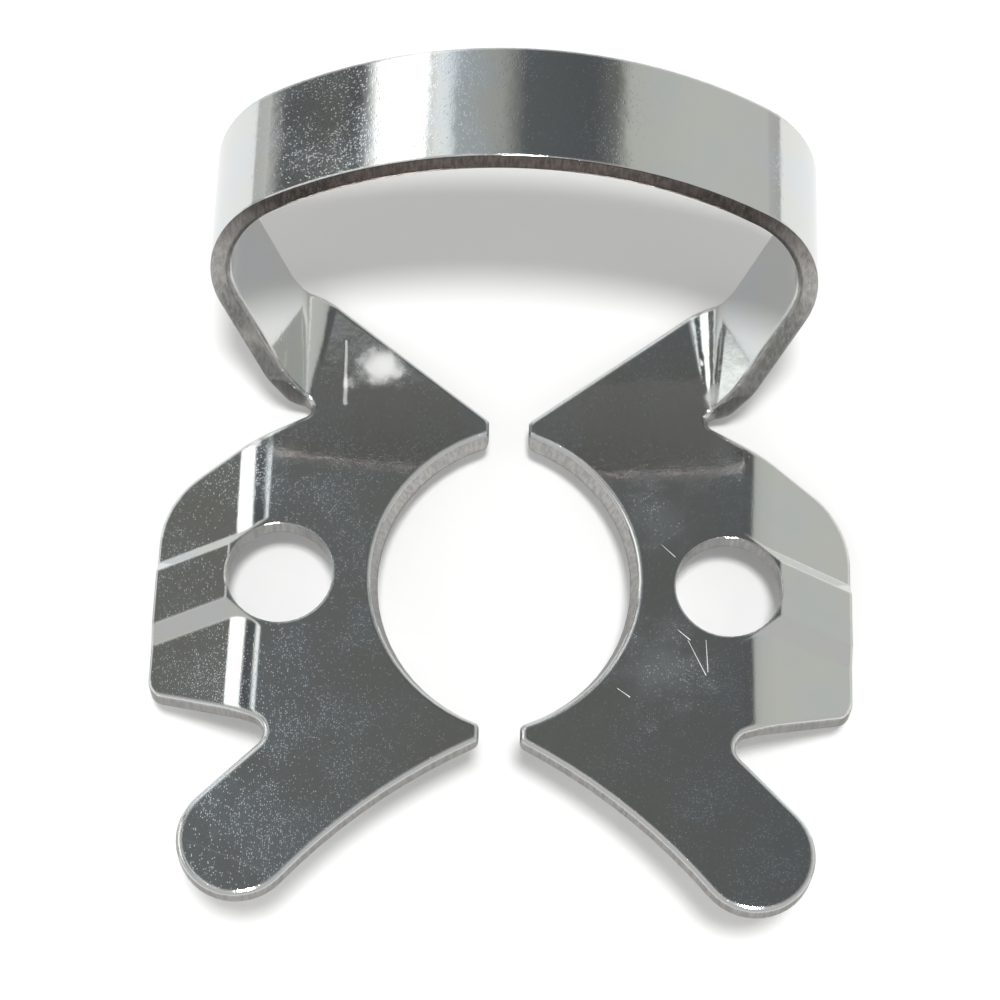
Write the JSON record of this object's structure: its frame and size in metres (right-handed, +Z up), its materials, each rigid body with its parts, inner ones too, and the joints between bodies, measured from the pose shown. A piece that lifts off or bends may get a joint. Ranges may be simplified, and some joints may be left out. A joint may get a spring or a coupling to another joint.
{
  "type": "rubber dam clamp",
  "caption": "Winged rubber dam clamp of polished spring steel: pronged jaws with forceps holes, joined by a springy bow, grip the neck of a tooth.",
  "frame": {"origin": "on the table, under the middle of the clamp's box", "axes": "+X to the clamp's right, +Y towards the bow, +Z up from the table the clamp lies on"},
  "size_m": [0.0208, 0.0236, 0.011],
  "materials": {
    "steel": "polished spring steel"
  },
  "bodies": {
    "root": {"clamp": "steel"}
  },
  "joints": []
}
